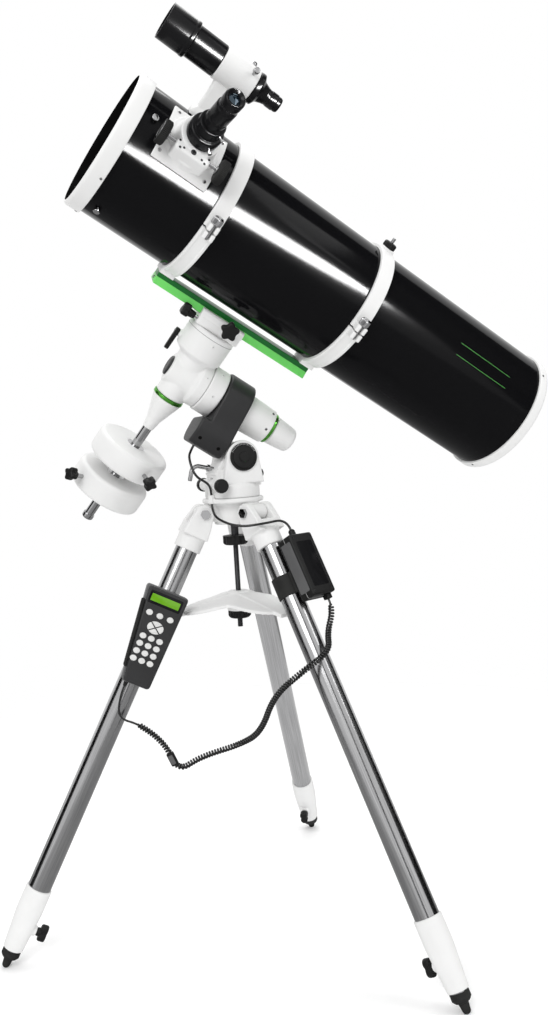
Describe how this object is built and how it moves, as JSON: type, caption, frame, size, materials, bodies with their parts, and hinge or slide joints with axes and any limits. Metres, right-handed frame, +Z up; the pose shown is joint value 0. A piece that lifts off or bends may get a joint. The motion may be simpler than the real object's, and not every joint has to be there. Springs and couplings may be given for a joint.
{
  "type": "telescope on tripod",
  "caption": "Reflecting telescope with clamp rings, finder and focuser on an equatorial mount with counterweights, on a folding steel tripod with a handset.",
  "frame": {"origin": "on the floor under the middle of the tripod", "axes": "+Z up, -X towards the pole that the mount faces, -Y towards the side that the picture shows"},
  "size_m": [1.0584, 0.8153, 1.5723],
  "materials": {
    "white": "satin paint",
    "iron": "satin paint",
    "steel": "polished",
    "tube": "gloss paint",
    "green": "anodised",
    "grey": "satin paint",
    "cover": "matt",
    "black": "satin",
    "optics": "anodised",
    "glass": "mirror",
    "cord": "satin"
  },
  "bodies": {
    "tripod": {"tripod_hub": "white", "leg_pivot_bolts": "steel", "coiled_cord": "cord", "motor_cable": "cord"},
    "tray": {"spreader_tray": "white"},
    "tray_nut": {"tray_nut": "black"},
    "centre_bolt": {"centre_bolt": "steel"},
    "north_leg": {"north_leg_castings": "white", "north_leg_tube": "steel", "handset": "cover"},
    "north_foot": {"north_leg_extension": "steel"},
    "north_lock": {"north_leg_knob": "black"},
    "west_leg": {"west_leg_castings": "white", "west_leg_tube": "steel", "control_box": "cover"},
    "west_foot": {"west_leg_extension": "steel"},
    "west_lock": {"west_leg_knob": "black"},
    "east_leg": {"east_leg_castings": "white", "east_leg_tube": "steel"},
    "east_foot": {"east_leg_extension": "steel"},
    "east_lock": {"east_leg_knob": "black"},
    "azimuth": {"azimuth_base": "white", "altitude_pivot": "black"},
    "azimuth_screws": {"azimuth_screws": "black"},
    "front_altitude_screw": {"front_altitude_screw": "steel"},
    "rear_altitude_screw": {"rear_altitude_screw": "steel"},
    "altitude": {"polar_housing": "white", "ra_motor_cover": "cover", "polar_scope_cap": "white"},
    "right_ascension": {"ra_shaft": "steel", "dec_housing": "white", "polar_front_cap": "black", "counterweight_cone": "grey", "counterweight_bar": "steel"},
    "dec_lever": {"dec_clutch_lever": "black"},
    "upper_counterweight": {"upper_counterweight": "iron"},
    "upper_counterweight_knob": {"upper_counterweight_knob": "black"},
    "lower_counterweight": {"lower_counterweight": "iron"},
    "lower_counterweight_knob": {"lower_counterweight_knob": "black"},
    "declination": {"dec_shaft": "steel", "dovetail_saddle": "white"},
    "saddle_star_knob": {"saddle_star_knob": "black"},
    "saddle_front_knob": {"saddle_front_knob": "black"},
    "dovetail": {"dovetail_bar": "green", "ring_lower_halves": "white"},
    "ring_tops": {"ring_upper_halves": "white"},
    "ring_screws": {"ring_clamp_screws": "steel"},
    "camera_knob": {"camera_knob": "black"},
    "tube": {"optical_tube": "tube", "front_ring": "white", "mirror_cell": "white", "primary_mirror": "glass", "spider": "optics", "focuser_base": "white", "finder_bracket": "white"},
    "drawtube": {"drawtube": "optics"},
    "focus_knobs": {"focus_knobs": "black"},
    "eyepiece": {"eyepiece": "optics"},
    "finder": {"finder_tube": "optics"},
    "keys": {"handset_keys": "cover"}
  },
  "joints": [
    {"name": "tray_slide", "type": "slide", "parent": "tripod", "child": "tray", "axis": [0, 0, -1], "range_m": [0, 0.236]},
    {"name": "tray_nut_turn", "type": "hinge", "parent": "tray", "child": "tray_nut", "pos_m": [0, 0, 0.59002], "axis": [0, 0, 1], "continuous": true},
    {"name": "centre_bolt_turn", "type": "hinge", "parent": "tripod", "child": "centre_bolt", "pos_m": [0, 0, 0.79802], "axis": [0, 0, 1], "continuous": true},
    {"name": "north_leg_fold", "type": "hinge", "parent": "tripod", "child": "north_leg", "pos_m": [-0.05874, 0.00555, 0.77162], "axis": [-0.0941, -0.9956, 0], "range_deg": [-0.05, 15.05], "deforming": ["coiled_cord"]},
    {"name": "north_foot_slide", "type": "slide", "parent": "north_leg", "child": "north_foot", "axis": [-0.4612, 0.0436, -0.8862], "range_m": [0, 0.42]},
    {"name": "north_lock_turn", "type": "hinge", "parent": "north_leg", "child": "north_lock", "pos_m": [-0.42589, 0.04026, 0.0662], "axis": [0.8823, -0.0834, -0.4633], "continuous": true},
    {"name": "west_leg_fold", "type": "hinge", "parent": "tripod", "child": "west_leg", "pos_m": [0.02456, -0.05364, 0.77162], "axis": [0.9092, 0.4163, 0], "range_deg": [-0.05, 15.05], "deforming": ["coiled_cord", "motor_cable"]},
    {"name": "west_foot_slide", "type": "slide", "parent": "west_leg", "child": "west_foot", "axis": [0.1929, -0.4212, -0.8862], "range_m": [0, 0.42]},
    {"name": "west_lock_turn", "type": "hinge", "parent": "west_leg", "child": "west_lock", "pos_m": [0.17808, -0.38896, 0.0662], "axis": [-0.3689, 0.8058, -0.4633], "continuous": true},
    {"name": "east_leg_fold", "type": "hinge", "parent": "tripod", "child": "east_leg", "pos_m": [0.03418, 0.04809, 0.77162], "axis": [-0.8151, 0.5793, 0], "range_deg": [-0.05, 15.05]},
    {"name": "east_foot_slide", "type": "slide", "parent": "east_leg", "child": "east_foot", "axis": [0.2684, 0.3776, -0.8862], "range_m": [0, 0.42]},
    {"name": "east_lock_turn", "type": "hinge", "parent": "east_leg", "child": "east_lock", "pos_m": [0.24781, 0.3487, 0.0662], "axis": [-0.5134, -0.7224, -0.4633], "continuous": true},
    {"name": "azimuth_turn", "type": "hinge", "parent": "tripod", "child": "azimuth", "pos_m": [0, 0, 0.79802], "axis": [0, 0, 1], "range_deg": [-6, 6], "deforming": ["motor_cable"]},
    {"name": "azimuth_screws_turn", "type": "hinge", "parent": "azimuth", "child": "azimuth_screws", "pos_m": [-0.038, 0, 0.82202], "axis": [0, 1, 0], "continuous": true},
    {"name": "front_altitude_screw_turn", "type": "hinge", "parent": "azimuth", "child": "front_altitude_screw", "pos_m": [0.009, 0, 0.84102], "axis": [-0.9703, 0, 0.2419], "continuous": true},
    {"name": "rear_altitude_screw_turn", "type": "hinge", "parent": "azimuth", "child": "rear_altitude_screw", "pos_m": [0.009, 0, 0.83852], "axis": [1, 0, 0], "continuous": true},
    {"name": "altitude_turn", "type": "hinge", "parent": "azimuth", "child": "altitude", "pos_m": [0.009, 0, 0.87102], "axis": [0, 1, 0], "range_deg": [-14, 32], "deforming": ["motor_cable"]},
    {"name": "right_ascension_turn", "type": "hinge", "parent": "altitude", "child": "right_ascension", "pos_m": [-0.0787, 0, 1.02518], "axis": [-0.832, 0, 0.5548], "range_deg": [-45.5, 94.5]},
    {"name": "dec_lever_turn", "type": "hinge", "parent": "right_ascension", "child": "dec_lever", "pos_m": [-0.04841, -0.02488, 1.07061], "axis": [-0.832, 0, 0.5548], "range_deg": [-35, 35]},
    {"name": "upper_counterweight_slide", "type": "slide", "parent": "right_ascension", "child": "upper_counterweight", "axis": [0.5049, -0.4147, 0.757], "range_m": [0, 0.038]},
    {"name": "upper_counterweight_knob_turn", "type": "hinge", "parent": "upper_counterweight", "child": "upper_counterweight_knob", "pos_m": [-0.17084, 0.07568, 0.88702], "axis": [0.1727, -0.8108, -0.5593], "continuous": true},
    {"name": "lower_counterweight_slide", "type": "slide", "parent": "right_ascension", "child": "lower_counterweight", "axis": [0.5049, -0.4147, 0.757], "range_m": [-0.044, 0]},
    {"name": "lower_counterweight_knob_turn", "type": "hinge", "parent": "lower_counterweight", "child": "lower_counterweight_knob", "pos_m": [-0.20517, 0.10388, 0.83554], "axis": [-0.8083, -0.5349, 0.2461], "continuous": true},
    {"name": "declination_turn", "type": "hinge", "parent": "right_ascension", "child": "declination", "pos_m": [-0.0787, 0, 1.02518], "axis": [0.5049, -0.4147, 0.757], "continuous": true},
    {"name": "saddle_star_knob_turn", "type": "hinge", "parent": "declination", "child": "saddle_star_knob", "pos_m": [-0.01418, -0.06874, 1.10155], "axis": [-0.1796, -0.9083, -0.3778], "continuous": true},
    {"name": "saddle_front_knob_turn", "type": "hinge", "parent": "declination", "child": "saddle_front_knob", "pos_m": [-0.05363, -0.0693, 1.10841], "axis": [-0.8443, -0.0548, 0.5331], "continuous": true},
    {"name": "dovetail_slide", "type": "slide", "parent": "declination", "child": "dovetail", "axis": [-0.8443, -0.0548, 0.5331], "range_m": [-0.04, 0.04]},
    {"name": "ring_open", "type": "hinge", "parent": "dovetail", "child": "ring_tops", "pos_m": [0.08209, 0.00119, 1.27996], "axis": [-0.8443, -0.0548, 0.5331], "range_deg": [0, 20]},
    {"name": "ring_screws_out", "type": "slide", "parent": "ring_tops", "child": "ring_screws", "axis": [0.4833, -0.5074, 0.7134], "range_m": [0, 0.012]},
    {"name": "camera_knob_turn", "type": "hinge", "parent": "ring_tops", "child": "camera_knob", "pos_m": [0.25589, -0.15936, 1.21609], "axis": [0.4833, -0.5074, 0.7134], "continuous": true},
    {"name": "tube_roll", "type": "hinge", "parent": "dovetail", "child": "tube", "pos_m": [0.05272, -0.10794, 1.22224], "axis": [-0.8443, -0.0548, 0.5331], "continuous": true},
    {"name": "drawtube_slide", "type": "slide", "parent": "tube", "child": "drawtube", "axis": [0.1869, -0.9624, 0.1972], "range_m": [-0.0015, 0.03]},
    {"name": "focus_turn", "type": "hinge", "parent": "tube", "child": "focus_knobs", "pos_m": [-0.11732, -0.26436, 1.34018], "axis": [-0.8443, -0.0548, 0.5331], "range_deg": [-573.96, 29.65]},
    {"name": "eyepiece_slide", "type": "slide", "parent": "drawtube", "child": "eyepiece", "axis": [0.1869, -0.9624, 0.1972], "range_m": [0, 0.03]},
    {"name": "finder_tilt", "type": "hinge", "parent": "tube", "child": "finder", "pos_m": [-0.03402, -0.22942, 1.4804], "axis": [0.2481, 0.8418, 0.4795], "range_deg": [-1.5, 1.5]},
    {"name": "keys_press", "type": "slide", "parent": "north_leg", "child": "keys", "axis": [0.0941, 0.9956, 0], "range_m": [0, 0.001], "stiffness_N_per_m": 800}
  ],
  "couplings": [
    {"joint": "north_leg_fold", "follows": "tray_slide", "rad_per_m": 1.1093},
    {"joint": "west_leg_fold", "follows": "tray_slide", "rad_per_m": 1.1093},
    {"joint": "east_leg_fold", "follows": "tray_slide", "rad_per_m": 1.1093},
    {"joint": "focus_turn", "follows": "drawtube_slide", "rad_per_m": -333.33}
  ]
}
